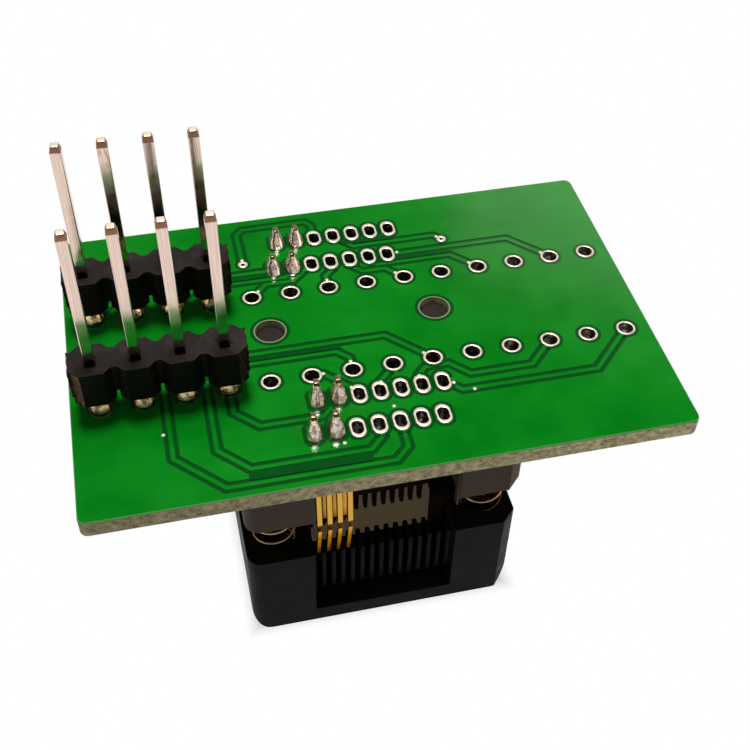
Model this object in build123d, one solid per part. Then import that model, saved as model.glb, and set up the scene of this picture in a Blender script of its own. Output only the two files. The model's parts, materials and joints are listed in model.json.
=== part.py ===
from build123d import *
import math
import os

# A programming adapter, upside down: it stands on the floating cover of its IC socket, with the circuit
# board above it and two strips of header pins pointing up. Millimetres, +Z up, origin on the floor under
# the middle of the board, +Y towards the back row of holes.

# Circuit board
board_length = 36.4
board_width = 23.8
board_thickness = 1.2
board_corner = 0.5
copper_relief = 0.05
track_width = 0.26
track_gap = 0.27

# Grid of plated holes for the header pins, two rows along the board
grid_pitch = 2.54
grid_positions = 14
row_spacing = 7.62
grid_centre_x = 0.10
grid_centre_y = 0.215
hole_diameter = 0.98
hole_pad_diameter = 1.26

# Header strips
header_positions = 4
lobe_length = 2.34
lobe_width = 2.5
lobe_chamfer = 0.5
web_width = 1.6
web_lift = 0.6
strip_height = 2.56
strip_standoff = 1.5
pin_width = 0.64
pin_above_strip = 9.34
pin_below_board = 0.0
pin_tip_length = 0.9
pin_tip_width = 0.3
pin_play = 0.01
pin_solder_height = 0.8
pin_solder_top = 1.02
solder_sides = 8

# Socket: the same pitch sets the contacts, the slots in the base and the ribs of the cover
socket_x = -0.24
socket_y = 0.435
contact_pitch = 0.65
contact_positions = 14
fitted_positions = 4
outer_tail_reach = 8.665
inner_tail_reach = 6.08
tail_slot_width = 0.72
tail_slot_length = 1.05
tail_slot_chamfer = 0.22
peg_spacing = 10.71
peg_offset_y = 0.295
peg_diameter = 1.65
peg_hole_diameter = 1.93
peg_recess = 0.45
via_diameter = 0.28
via_places = [(-6.36, 7.34), (7.33, 7.27)]

# Floating cover
cover_length = 17.8
cover_width = 20.1
cover_height = 7.6
cover_gap = 3.45
cover_travel = 2.4
corner_radius = 0.95
polarity_chamfer = 0.95
foot_radius = 1.35
recess_width = 9.3
recess_depth = 0.95
recess_floor = 1.3
rib_thickness = 0.30
rib_drop_outer = 1.3
rib_drop_inner = 1.75
rib_foot = 2.4
rib_undercut = 0.7
rib_reach = 1.8
slot_floor = 1.9
cam_thickness = 0.4
cam_drop = 2.9
window_length = 11.2
window_width = 9.4
window_plate = 1.5
window_lead_in = 0.7
leg_thickness = 0.7
leg_width = 3.2
leg_end_play = 0.3
hook_depth = 0.6
hook_height = 0.8
hook_play = 0.1
groove_play = 0.12

# Socket base
base_end_inset = 0.05
base_side_overhang = 0.05
base_height = 5.55
bay_left = 4.62
bay_right = 4.66
web_thickness = 1.4
web_reach = 9.0
foot_slot_width = 0.42
foot_slot_inner = 5.5
tower_length = 10.4
tower_width = 8.6
tower_height = 11.2
fin_thickness = 0.26
fin_height = 1.8
fin_root_width = 0.8
fin_tip_width = 0.5
post_width = 1.4
post_height = 2.3
post_root = 4.45
post_mouth = 4.9
guard_thickness = 0.14
guard_reach_left = 1.95
guard_reach_right = 0.8
guard_depth = 0.5

# Contacts, blanked from thin strip that stands on edge
contact_thickness = 0.32
bar_width = 0.46
bar_lean = 0.42
bar_overhang = 0.7
bar_face = 9.85
foot_drop = 0.15
foot_lap = 0.1
lever_width = 0.26
lever_thickness = 0.25
lever_step = 0.31
lever_lap = 0.5
lever_neck = 0.55
bend_step = 0.06
bend_drop = 0.72
lever_play = 0.18
lever_tuck = 0.7
lever_depth = 0.4
lever_rise = 0.1
arm_width = 0.30
arm_root_inset = 1.15
arm_bend_inset = 1.35
arm_bend_height = 0.9
arm_tip_inset = 0.6
arm_tip_drop = 0.5
arm_dip = 0.1
arm_radius = 0.45
tail_width = 0.40
tail_above_board = 1.7
tail_solder_height = 1.3
tail_solder_diameter = 1.0
tail_solder_top = 0.56

# Cover springs
spring_inset_left = 2.05
spring_inset_right = 1.80
spring_inset_side = 2.7
spring_diameter = 2.88
spring_wire = 0.17
spring_pitch = 0.98
spring_turn_sides = 10
spring_end_play = 0.06
pocket_play = 0.12
pocket_depth = 2.6

# Heights worked out from the stack
base_bottom = cover_height + cover_gap
board_bottom = base_bottom + base_height
board_top = board_bottom + board_thickness
pocket_floor = cover_height - pocket_depth
strip_bottom = board_top + strip_standoff
strip_top = strip_bottom + strip_height
pin_top = strip_top + pin_above_strip
seat_height = board_bottom - tower_height
fin_tip = seat_height - fin_height
post_tip = seat_height - post_height
rib_face = cover_width / 2 - recess_depth
rib_top_outer = cover_height - rib_drop_outer
rib_top_inner = cover_height - rib_drop_inner
cam_face = rib_face - rib_reach
cam_height = cover_height - cam_drop
leg_top = board_bottom - cover_travel - leg_end_play
bar_end = base_bottom - bar_overhang
slot_width = contact_pitch - rib_thickness
spring_left = spring_inset_left - cover_length / 2
spring_right = cover_length / 2 - spring_inset_right
spring_side = cover_width / 2 - spring_inset_side
base_length = cover_length - 2 * base_end_inset
base_width = cover_width + 2 * base_side_overhang


def grid_hole(row, position):
    """Centre of one hole of the front (-1) or back (+1) row, positions counted from 1."""
    x = grid_centre_x + (position - (grid_positions + 1) / 2) * grid_pitch
    return (x, grid_centre_y + row * row_spacing / 2)


def contact_x(place):
    """Contact place along the socket, counted from 0, measured from the socket's middle."""
    return (place - (contact_positions - 1) / 2) * contact_pitch


def tail_reach(side, place):
    """Contacts stagger their tails over two rows, the other way round on the two sides."""
    outer = place % 2 == (0 if side < 0 else 1)
    return outer_tail_reach if outer else inner_tail_reach


def tail_hole(side, place):
    """Centre of a contact's slotted hole in the board, front (-1) or back (+1) side."""
    return (socket_x + contact_x(place), socket_y + side * tail_reach(side, place))


def peg_hole(side):
    """Centre of a locating peg, left (-1) or right (+1)."""
    return (socket_x + side * peg_spacing / 2, socket_y + peg_offset_y)


def track_routes():
    """The printed tracks of the solder side, from pad to pad."""
    return [
        [tail_hole(-1, 8), (0.70, -10.22), (-0.15, -11.07), (-9.94, -11.07), (-12.62, -8.4), (-12.62, -2.3),
         (-11.41, -1.09), (1.40, -1.09), grid_hole(-1, 9)],
        [tail_hole(-1, 6), (-0.56, -9.16), (-1.40, -10.0), (-8.42, -10.0), (-10.11, -8.31), (-10.11, -3.0),
         (-8.99, -1.88), (-1.86, -1.88), (-1.17, -2.57), grid_hole(-1, 7)],
        [grid_hole(-1, 4), (-8.79, -5.6), (-7.42, -6.96), (-3.65, -6.96), (-2.52, -5.83),
         tail_hole(-1, 3)],
        [grid_hole(-1, 6), (-3.0, -3.6), (-1.6, -5.0), tail_hole(-1, 5)],
        [grid_hole(-1, 8), (1.37, -3.78), (0.3, -4.85), tail_hole(-1, 7)],
        [tail_hole(-1, 11), (2.68, -4.85), (3.25, -4.28), (4.72, -4.28), (5.84, -5.4), (9.78, -5.4),
         grid_hole(-1, 12)],
        [tail_hole(-1, 13), (4.05, -5.65), (4.98, -6.58), (13.63, -6.58), grid_hole(-1, 14)],
        [via_places[0], (-6.38, 10.4), (-5.95, 10.9), (-1.6, 10.95), (-1.2, 10.5), tail_hole(1, 5)],
        [via_places[1], (6.85, 7.75), (1.25, 7.75), (0.10, 8.9), tail_hole(1, 7)],
        [tail_hole(1, 0), (-5.0, 6.38), (-14.05, 6.38), grid_hole(1, 1)],
        [tail_hole(1, 2), (-3.14, 6.2), (-3.78, 5.56), (-9.8, 5.56), grid_hole(1, 3)],
        [grid_hole(1, 5), (-5.17, 5.10), (-3.35, 5.10), tail_hole(1, 4)],
        [tail_hole(1, 6), (-0.62, 5.68), (-1.17, 5.13), grid_hole(1, 7)],
        [tail_hole(1, 8), (0.6, 5.85), (1.35, 5.10), (2.85, 5.10), grid_hole(1, 9)],
        [tail_hole(1, 10), (2.06, 5.92), (2.40, 5.58), (7.42, 5.58), grid_hole(1, 11)],
        [tail_hole(1, 12), (3.9, 6.42), (11.72, 6.42), grid_hole(1, 13)],
    ]


def circuit_board():
    """Laminate with its drilled holes, and the printed side's tracks standing between etched gaps."""
    outline = fillet(Rectangle(board_length, board_width).vertices(), board_corner)
    rows = [(row, n + 1) for row in (-1, 1) for n in range(grid_positions)]
    slot = chamfer(Rectangle(tail_slot_width, tail_slot_length).vertices(), tail_slot_chamfer)
    tails = [tail_hole(side, place) for side in (-1, 1) for place in range(contact_positions)]
    filled = RegularPolygon(hole_diameter / 2, solder_sides)
    empty = Circle(hole_diameter / 2)
    holes = [Pos(*grid_hole(row, n)) * (filled if n <= header_positions else empty) for row, n in rows]
    holes += [Pos(*place) * slot for place in tails]
    holes += [Pos(*peg_hole(side)) * Circle(peg_hole_diameter / 2) for side in (-1, 1)]
    holes += [Pos(*place) * Circle(via_diameter / 2) for place in via_places]
    lines = [Polyline(*route) for route in track_routes()]
    tracks = Sketch() + [trace(line, track_width) for line in lines]
    corridors = Sketch() + [trace(line, track_width + 2 * track_gap) for line in lines]
    gaps = Pos(0, 0, board_thickness - copper_relief) * extrude(corridors - tracks, copper_relief)
    board = extrude(outline, board_thickness) - gaps - extrude(Sketch() + holes, board_thickness)
    return Pos(0, 0, board_bottom) * board


def header_strip(row):
    """Moulded strip: an eight-sided lobe round each pin, joined by a narrower web."""
    first, last = grid_hole(row, 1), grid_hole(row, header_positions)
    middle = ((first[0] + last[0]) / 2, first[1])
    lobe = chamfer(Rectangle(lobe_length, lobe_width).vertices(), lobe_chamfer)
    pins = [grid_hole(row, n + 1) for n in range(header_positions)]
    lobes = extrude(Sketch() + [Pos(*place) * lobe for place in pins], strip_height)
    web = extrude(Pos(*middle) * Rectangle(header_positions * grid_pitch, web_width), strip_height - web_lift)
    hole = Rectangle(pin_width + 2 * pin_play, pin_width + 2 * pin_play)
    bores = extrude(Sketch() + [Pos(*place) * hole for place in pins], strip_height)
    return Pos(0, 0, strip_bottom) * (lobes + Pos(0, 0, web_lift) * web - bores)


def header_pin(row, position):
    """Square pin with pointed ends."""
    bottom = board_bottom - pin_below_board
    square = Rectangle(pin_width, pin_width)
    lean = math.degrees(math.atan((pin_width - pin_tip_width) / 2 / pin_tip_length))
    shaft = extrude(square, pin_top - bottom - 2 * pin_tip_length)
    upper = extrude(square, pin_tip_length, taper=lean)
    lower = Rot(180, 0, 0) * extrude(square, pin_tip_length, taper=lean)
    pin = shaft + Pos(0, 0, pin_top - bottom - 2 * pin_tip_length) * upper + lower
    return Pos(*grid_hole(row, position), bottom + pin_tip_length) * pin


def solder_cone(foot, top, height, hole_length, hole_width):
    """Solder that narrows upwards round a square lead, drawn with flat sides."""
    slope = math.degrees(math.atan((foot - top) / 2 / height))
    cone = extrude(RegularPolygon(foot / 2, solder_sides, major_radius=False), height, taper=slope)
    return cone - extrude(Rectangle(hole_length, hole_width), height)


def header_solder(row):
    """A solder cone round each pin, on its pad."""
    joint = solder_cone(hole_pad_diameter, pin_solder_top, pin_solder_height, pin_width, pin_width)
    places = [grid_hole(row, n + 1) for n in range(header_positions)]
    return Compound([Pos(*place, board_top) * joint for place in places])


def socket_outline(length, width):
    """Plan of the cover or the base: three round corners and one cut corner that tells the way round."""
    plan = Rectangle(length, width)
    cut_corner = plan.vertices().sort_by(lambda v: v.X - v.Y)[-1]
    plan = chamfer(cut_corner, polarity_chamfer)
    right_angles = [v for v in plan.vertices() if abs(v.X) + abs(v.Y) > (length + width) / 2 - 1e-6]
    return fillet(right_angles, corner_radius)


def slab(points, plane, middle, depth):
    """A flat outline in the given plane, thickened both ways from its place along the plane's normal."""
    face = make_face(Polyline(*points, close=True))
    return Pos(*middle) * extrude(plane * face, depth / 2, both=True)


def comb_slots(width, inner, outer, bottom, top):
    """Slots on the contact pitch along both sides, between two distances from the middle."""
    slot = Box(width, outer - inner, top - bottom)
    height = (bottom + top) / 2
    middle = (inner + outer) / 2
    places = [(contact_x(n), side * middle) for side in (-1, 1) for n in range(contact_positions)]
    return [Pos(x, y, height) * slot for x, y in places]


def socket_base():
    """Base on the board: corner blocks, slotted web for the contact feet and a tower with the IC's seat."""
    bottom, top = base_bottom, board_bottom
    blocks = Pos(0, 0, bottom) * extrude(socket_outline(base_length, base_width), top - bottom)
    bay_depth = base_width / 2 - tower_width / 2
    bay_middle = (base_width / 2 + tower_width / 2) / 2
    web_bottom = top - web_thickness
    cuts = []
    bay_length = bay_left + bay_right
    bay_x = (bay_right - bay_left) / 2
    for side in (-1, 1):
        bay = Box(bay_length, bay_depth, web_bottom - bottom)
        cuts.append(Pos(bay_x, side * bay_middle, (bottom + web_bottom) / 2) * bay)
        edge = Box(bay_length, base_width / 2 - web_reach, web_thickness)
        cuts.append(Pos(bay_x, side * (base_width / 2 + web_reach) / 2, top - web_thickness / 2) * edge)
    cuts += comb_slots(foot_slot_width, foot_slot_inner, web_reach, web_bottom, top)
    tower = Pos(0, 0, seat_height + tower_height / 2) * Box(tower_length, tower_width, tower_height)
    base = blocks - cuts + tower + seat_fins() + guards() + pegs() - leg_grooves()
    return Pos(socket_x, socket_y, 0) * base


def seat_fins():
    """Fins that keep the IC's leads apart, and sloped posts that guide them in at the row's ends."""
    outer = tower_width / 2
    root, tip = fin_root_width, fin_tip_width
    shift = (root - tip) / 2
    shapes = []
    for side in (-1, 1):
        outline = [
            (side * (outer - root), seat_height),
            (side * (outer - root + shift), fin_tip),
            (side * (outer - shift), fin_tip),
            (side * outer, seat_height),
        ]
        for n in range(contact_positions - 1):
            x = contact_x(n) + contact_pitch / 2
            shapes.append(slab(outline, Plane.YZ, (x, 0, 0), fin_thickness))
        for end in (-1, 1):
            post = [
                (end * post_root, seat_height),
                (end * post_mouth, post_tip),
                (end * tower_length / 2, post_tip),
                (end * tower_length / 2, seat_height),
            ]
            shapes.append(slab(post, Plane.XZ, (0, side * (outer - post_width / 2), 0), post_width))
    return shapes


def guards():
    """Thin walls at the bays' ends, beside the outermost contacts."""
    y = base_width / 2 - guard_depth / 2 - guard_thickness
    left, right = guard_thickness / 2 - bay_left, bay_right - guard_thickness / 2
    walls = []
    for x, reach in ((left, guard_reach_left), (right, guard_reach_right)):
        wall = Box(guard_thickness, guard_depth, base_height + reach)
        height = board_bottom - (base_height + reach) / 2
        walls += [Pos(x, side * y, height) * wall for side in (-1, 1)]
    return walls


def pegs():
    """Locating pegs that stop short of the board's solder face."""
    height = board_thickness - peg_recess
    peg = Cylinder(peg_diameter / 2, height, align=(Align.CENTER, Align.CENTER, Align.MIN))
    return [Pos(side * peg_spacing / 2, peg_offset_y, board_bottom) * peg for side in (-1, 1)]


def leg_grooves():
    """Grooves in the end faces for the cover's legs, deeper above the ledge that stops the hooks."""
    floor = cover_length / 2 - leg_thickness - groove_play
    deep = floor - hook_depth
    ledge = leg_top - hook_height - hook_play
    width = leg_width + 2 * groove_play
    outside = cover_length / 2
    shallow = Box(outside - floor, width, base_height)
    pocket = Box(outside - deep, width, board_bottom - ledge)
    cuts = []
    for end in (-1, 1):
        cuts.append(Pos(end * (floor + outside) / 2, 0, base_bottom + base_height / 2) * shallow)
        cuts.append(Pos(end * (deep + outside) / 2, 0, (ledge + board_bottom) / 2) * pocket)
    return cuts


def socket_cover():
    """Floating cover: a frame with a window for the IC, a comb of ribs on both sides and two hooked legs."""
    plan = extrude(socket_outline(cover_length, cover_width), cover_height)
    front = Pos(0, cover_height / 2) * Rectangle(cover_length, cover_height)
    front = fillet(front.vertices().sort_by(Axis.Y)[:2], foot_radius)
    body = plan & extrude(Plane.XZ * front, cover_width / 2, both=True)
    deep = cover_height - window_plate
    cavity = Pos(0, 0, window_plate + deep / 2) * Box(window_length, window_width, deep)
    arm_space = 2 * (cam_face - cam_thickness)
    comb_length = contact_positions * contact_pitch - rib_thickness
    arms = Pos(0, 0, window_plate + deep / 2) * Box(comb_length, arm_space, deep)
    window = Pos(0, 0, window_plate / 2) * Box(window_length, window_width, window_plate)
    mouth = Rectangle(window_length + 2 * window_lead_in, window_width + 2 * window_lead_in)
    lead_in = extrude(mouth, window_lead_in, taper=45)
    cuts = [cavity, arms, window, lead_in]
    for side in (-1, 1):
        cuts += comb_relief(side, comb_length)
    cuts += comb_slots(slot_width, cam_face, rib_face, slot_floor, cover_height)
    on_floor = (Align.CENTER, Align.CENTER, Align.MIN)
    pocket = Cylinder(spring_diameter / 2 + pocket_play, pocket_depth, align=on_floor)
    for x in (spring_left, spring_right):
        for y in (-spring_side, spring_side):
            cuts.append(Pos(x, y, pocket_floor) * pocket)
    cover = body - cuts + [cover_leg(end) for end in (-1, 1)]
    return Pos(socket_x, socket_y, 0) * cover


def comb_relief(side, comb_length):
    """What is cut away in front of and above the ribs on one side."""
    face = side * rib_face
    front = Box(recess_width, recess_depth, cover_height - recess_floor)
    front = Pos(0, side * (rib_face + recess_depth / 2), (recess_floor + cover_height) / 2) * front
    above = [
        (face, rib_top_outer),
        (side * cam_face, rib_top_inner),
        (side * cam_face, cover_height),
        (face, cover_height),
    ]
    under = [(face, recess_floor), (side * (rib_face - rib_undercut), recess_floor), (face, rib_foot)]
    over_cam = Box(comb_length, cam_thickness, cover_height - cam_height)
    over_cam = Pos(0, side * (cam_face - cam_thickness / 2), (cam_height + cover_height) / 2) * over_cam
    return [
        front,
        slab(above, Plane.YZ, (0, 0, 0), recess_width),
        slab(under, Plane.YZ, (0, 0, 0), recess_width),
        over_cam,
    ]


def cover_leg(end):
    """A leg at one end of the cover, with a hook that turns inwards."""
    outer = cover_length / 2
    inner = outer - leg_thickness
    hook_bottom = leg_top - hook_height
    outline = [
        (end * outer, cover_height - foot_radius),
        (end * outer, leg_top),
        (end * inner, leg_top),
        (end * (inner - hook_depth), hook_bottom + hook_height / 4),
        (end * (inner - hook_depth), hook_bottom),
        (end * inner, hook_bottom),
        (end * inner, cover_height - foot_radius),
    ]
    return slab(outline, Plane.XZ, (0, 0, 0), leg_width)


def contact(side, place):
    """One contact: tail, foot, leaning outer bar with its lever, and the inner leg that ends on the IC."""
    foot_height = board_bottom - web_thickness / 2 - foot_drop
    bar_low = bar_face - bar_width / 2
    bar_top = bar_low - bar_lean
    tail = tail_reach(side, place)
    bar = Polyline((bar_top, foot_height), (bar_low, bar_end))
    lever = Polyline(
        (bar_low - lever_step, bar_end + lever_lap),
        (bar_low - lever_step, bar_end - lever_neck),
        (bar_low + bend_step, bar_end - bend_drop),
        (rib_face - lever_play, rib_top_outer + lever_rise),
        (rib_face - lever_tuck, rib_top_outer - lever_depth),
    )
    foot = Line((inner_tail_reach - tail_width / 2, foot_height), (bar_top + foot_lap, foot_height))
    arm = FilletPolyline(
        (bar_top - arm_root_inset, foot_height),
        (bar_top - arm_bend_inset, cover_height + arm_bend_height),
        (cam_face - arm_tip_inset, rib_top_outer - arm_dip),
        (tower_width / 2 - arm_tip_inset, seat_height - arm_tip_drop),
        radius=arm_radius,
    )
    pin = Line((tail, foot_height), (tail, board_top + tail_above_board))
    blank = Sketch() + [
        trace(bar, bar_width),
        trace(foot, bar_width),
        trace(arm, arm_width),
        trace(pin, tail_width),
    ]
    solid = extrude(Plane.YZ * blank, contact_thickness / 2, both=True)
    solid += extrude(Plane.YZ * trace(lever, lever_width), lever_thickness / 2, both=True)
    if side < 0:
        solid = mirror(solid, Plane.XZ)
    return Pos(socket_x + contact_x(place), socket_y, 0) * solid


def contact_solder(side):
    """A solder cone round each contact's tail."""
    foot, top = tail_solder_diameter, tail_solder_top
    joint = solder_cone(foot, top, tail_solder_height, contact_thickness, tail_width)
    places = [tail_hole(side, n) for n in range(fitted_positions)]
    return Compound([Pos(*place, board_top) * joint for place in places])


def cover_spring(x, y):
    """Coil spring between the cover's pocket and the base, its turns worked out side by side."""
    low = pocket_floor + spring_end_play + spring_wire / 2
    high = base_bottom - spring_end_play - spring_wire / 2
    radius = (spring_diameter - spring_wire) / 2
    steps = round((high - low) / spring_pitch * spring_turn_sides)
    points = []
    for n in range(steps + 1):
        turn = 2 * math.pi * n / spring_turn_sides
        points.append((radius * math.cos(turn), radius * math.sin(turn), low + (high - low) * n / steps))
    path = Polyline(*points)
    section = Plane(path @ 0, z_dir=path % 0) * Rectangle(spring_wire, spring_wire)
    coil = sweep(section, path=path, transition=Transition.RIGHT)
    return Pos(socket_x + x, socket_y + y, 0) * coil


def pieces():
    """Every piece of the adapter by name."""
    made = {"circuit_board": circuit_board(), "socket_base": socket_base(), "socket_cover": socket_cover()}
    for label, row in (("front", -1), ("back", 1)):
        made[f"header_strip_{label}"] = header_strip(row)
        made[f"header_solder_{label}"] = header_solder(row)
        made[f"contact_solder_{label}"] = contact_solder(row)
        for n in range(header_positions):
            made[f"header_pin_{label}_{n + 1}"] = header_pin(row, n + 1)
        for n in range(fitted_positions):
            made[f"contact_{label}_{n + 1}"] = contact(row, n)
        for end, x in (("left", spring_left), ("right", spring_right)):
            made[f"cover_spring_{label}_{end}"] = cover_spring(x, row * spring_side)
    return made


os.makedirs("parts", exist_ok=True)
for name, piece in pieces().items():
    export_step(piece, f"parts/{name}.step")
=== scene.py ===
import json
import math
from functools import partial

import bmesh
import bpy
from bpy.props import FloatProperty, FloatVectorProperty, IntProperty, PointerProperty
from mathutils import Matrix, Vector

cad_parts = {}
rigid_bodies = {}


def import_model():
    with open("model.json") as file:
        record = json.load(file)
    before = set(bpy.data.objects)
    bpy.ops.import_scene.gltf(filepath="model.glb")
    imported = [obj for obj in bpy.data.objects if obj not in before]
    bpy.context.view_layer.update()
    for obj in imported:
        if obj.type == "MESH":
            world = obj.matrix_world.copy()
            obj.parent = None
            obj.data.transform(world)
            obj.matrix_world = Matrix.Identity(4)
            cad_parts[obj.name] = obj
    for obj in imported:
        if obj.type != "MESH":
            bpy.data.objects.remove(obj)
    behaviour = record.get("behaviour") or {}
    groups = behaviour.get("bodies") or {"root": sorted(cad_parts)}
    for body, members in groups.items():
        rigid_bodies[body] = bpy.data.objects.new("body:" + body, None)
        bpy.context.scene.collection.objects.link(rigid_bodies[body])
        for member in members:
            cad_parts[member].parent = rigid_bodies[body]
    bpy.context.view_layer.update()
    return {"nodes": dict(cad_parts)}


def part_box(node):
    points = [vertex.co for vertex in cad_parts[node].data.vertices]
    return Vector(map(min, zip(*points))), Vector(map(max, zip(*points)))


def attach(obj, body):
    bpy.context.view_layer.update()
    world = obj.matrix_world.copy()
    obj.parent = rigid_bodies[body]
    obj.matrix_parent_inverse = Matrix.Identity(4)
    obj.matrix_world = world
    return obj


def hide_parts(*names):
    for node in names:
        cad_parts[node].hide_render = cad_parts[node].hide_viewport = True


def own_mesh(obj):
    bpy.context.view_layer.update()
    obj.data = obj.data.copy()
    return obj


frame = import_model()

bl_info = {
    "name": "IC Socket Adapter",
    "version": (1, 0, 0),
    "blender": (4, 5, 0),
    "location": "3D View > Sidebar > Adapter",
    "description": "Gives the packed socket adapter its plating, solder, springs, contacts and finishes",
    "category": "Object",
}

MM = 0.001
ROWS = ("front", "back")

# Places on the board, in millimetres, the same as in the CAD model
GRID_PITCH = 2.54
GRID_POSITIONS = 14
FIRST_HOLE_X = -16.41
FRONT_ROW_Y = -3.595
BACK_ROW_Y = 4.025
HEADER_POSITIONS = 4
CONTACT_PITCH = 0.65
CONTACT_POSITIONS = 14
FITTED_CONTACTS = 4
OUTER_TAIL_REACH = 8.665
INNER_TAIL_REACH = 6.08
VIA_PLACES = ((-6.36, 7.34), (7.33, 7.27))
PEG_PLACES = ((-5.595, 0.73), (5.115, 0.73))

# Half sizes of the plated holes in X and Y, in millimetres: the opening, the drilled wall and the pad
GRID_WALL = (0.485, 0.485)
SLOT_BORE, SLOT_WALL, SLOT_PAD = (0.345, 0.512), (0.357, 0.522), (0.475, 0.775)
VIA_BORE, VIA_WALL, VIA_PAD = (0.12, 0.12), (0.138, 0.138), (0.33, 0.33)

# Bare rings round the slots' pads, the vias and the pegs: half sizes in X and Y, in millimetres
SLOT_TUCK, VIA_TUCK = (0.43, 0.73), (0.30, 0.30)
PEG_RING, PEG_RIM = ((1.03, 1.03), (1.27, 1.27)), ((0.955, 0.955), (1.045, 1.045))

# Depth below the board's face, in millimetres, that its rounded rim takes up
RIM_DEPTH = 0.1
# How far below the board the contacts' inner arms start, in millimetres
ARM_DROP = 1.2
# From the socket's middle to the near end of the contacts' feet, in millimetres
FOOT_REACH = 8.25
# The cropped back tails, as a share of the front tails' height
BACK_TAIL_SHARE = 0.72
# Length of a pin's taper in the CAD model and as cropped, and the tip's inset there, in millimetres
DRAWN_TAPER, DRAWN_INSET = 0.9, 0.17
CROPPED_TAPER, CROPPED_INSET = 0.36, 0.10
# Header pins that stand a little askew, in degrees round Z
PIN_TURNS = {"header_pin_back_1": -5.0, "header_pin_back_2": -2.0}
# Points of a mesh that are closer than this, in millimetres, are one
SAME_POINT = 0.0005

board_low, board_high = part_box("circuit_board")
cover_low, cover_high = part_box("socket_cover")
BOARD_TOP = board_high[2] / MM
BOARD_BOTTOM = board_low[2] / MM
SOCKET_X = (cover_low[0] + cover_high[0]) / 2 / MM
SOCKET_Y = (cover_low[1] + cover_high[1]) / 2 / MM


def linear(code):
    """An sRGB hex colour as linear red, green and blue."""
    channels = [int(code[n:n + 2], 16) / 255 for n in (1, 3, 5)]
    return [c / 12.92 if c <= 0.04045 else ((c + 0.055) / 1.055) ** 2.4 for c in channels]


def dimmed(colour, share):
    """A linear colour made darker, or brighter with a share above one."""
    return [c * share for c in colour]


def per_mm(size):
    """The texture scale at which one feature is this many millimetres across."""
    return 1 / (size * MM)


def length_property(name, description, millimetres):
    """A length in metres that a user might change."""
    return FloatProperty(
        name=name, description=description, default=millimetres * MM, min=0.0, unit="LENGTH", precision=6)


def colour_property(name, description, code):
    """A colour that a user might change."""
    return FloatVectorProperty(
        name=name, description=description, default=linear(code), subtype="COLOR", size=3, min=0.0, max=1.0)


class AdapterSizes(bpy.types.PropertyGroup):
    """Sizes that a user might change."""

    pad_rise: length_property("Pad Rise", "How far the tinned pads stand above the laminate", 0.035)
    grid_pad: length_property("Grid Pad", "Diameter of the pads round the 2.54 mm grid holes", 1.24)
    grid_bore: length_property("Grid Bore", "Inner diameter of the plated grid holes", 0.95)
    clearance: length_property("Clearance", "Width of the bare ring round each pad", 0.2)
    edge_wear: length_property("Edge Rounding", "Rounding of the moulded edges", 0.05)
    spring_diameter: length_property("Spring Diameter", "Outer diameter of the cover springs", 2.88)
    spring_wire: length_property("Spring Wire", "Diameter of the spring wire", 0.14)
    spring_turns: IntProperty(
        name="Spring Turns", description="Turns of each cover spring, the closed ends included",
        default=7, min=3)


class AdapterColours(bpy.types.PropertyGroup):
    """Colours that a user might change."""

    mask_on_copper: colour_property("Mask on Copper", "Solder mask where it lies on copper", "#007411")
    mask_on_laminate: colour_property(
        "Mask on Laminate", "Solder mask where the copper is etched away", "#064a18")
    laminate: colour_property("Laminate", "Cut edge of the glass-epoxy laminate", "#8f8c74")
    header_plastic: colour_property("Header Plastic", "Black polyester of the pin strips", "#0b0908")
    base_plastic: colour_property("Base Plastic", "Moulding of the socket base", "#3a302a")
    cover_plastic: colour_property("Cover Plastic", "Moulding of the floating cover", "#11100e")
    gold: colour_property("Gold", "Gold plating of the contacts", "#dba94f")
    tin: colour_property("Tin", "Tin plating of pads and holes", "#ebdcc9")


# Node work

def fill_inputs(node, inputs):
    """Set or link a node's inputs, which are named, or listed in the order of those in use.

    A value is a number, a vector, a colour as hex code or linear channels, another node's output, or a
    node itself, which stands for its first output in use.
    """
    in_use = [socket for socket in node.inputs if socket.enabled]
    for key, value in inputs.items() if isinstance(inputs, dict) else enumerate(inputs):
        socket = in_use[key] if isinstance(key, int) else node.inputs[key]
        if isinstance(value, bpy.types.Node):
            value = next(output for output in value.outputs if output.enabled)
        if isinstance(value, bpy.types.NodeSocket):
            node.id_data.links.new(value, socket)
        elif socket.type == "RGBA":
            colour = linear(value) if isinstance(value, str) else value[:3]
            socket.default_value = (*colour, 1.0)
        else:
            socket.default_value = value


def add_node(tree, kind, inputs=(), **settings):
    """Add one shader node with its settings, and with values or links on its inputs."""
    node = tree.nodes.new("ShaderNode" + kind)
    for key, value in settings.items():
        setattr(node, key, value)
    fill_inputs(node, inputs)
    return node


def clear_tree(tree):
    """Empty a node tree, and give add_node for that tree."""
    tree.nodes.clear()
    return partial(add_node, tree)


def start_material(name):
    """A new material with a Principled shader; gives it, the shader, add_node for it and coordinates."""
    material = bpy.data.materials.new(name)
    material.use_nodes = True
    add = clear_tree(material.node_tree)
    shader = add("BsdfPrincipled")
    add("OutputMaterial", {"Surface": shader})
    return material, shader, add, add("TexCoord").outputs["Object"]


def facing(add, axis, normal="Normal"):
    """How far the surface looks along an axis, from -1 to 1."""
    return add("SeparateXYZ", [add("NewGeometry").outputs[normal]]).outputs[axis]


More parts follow.
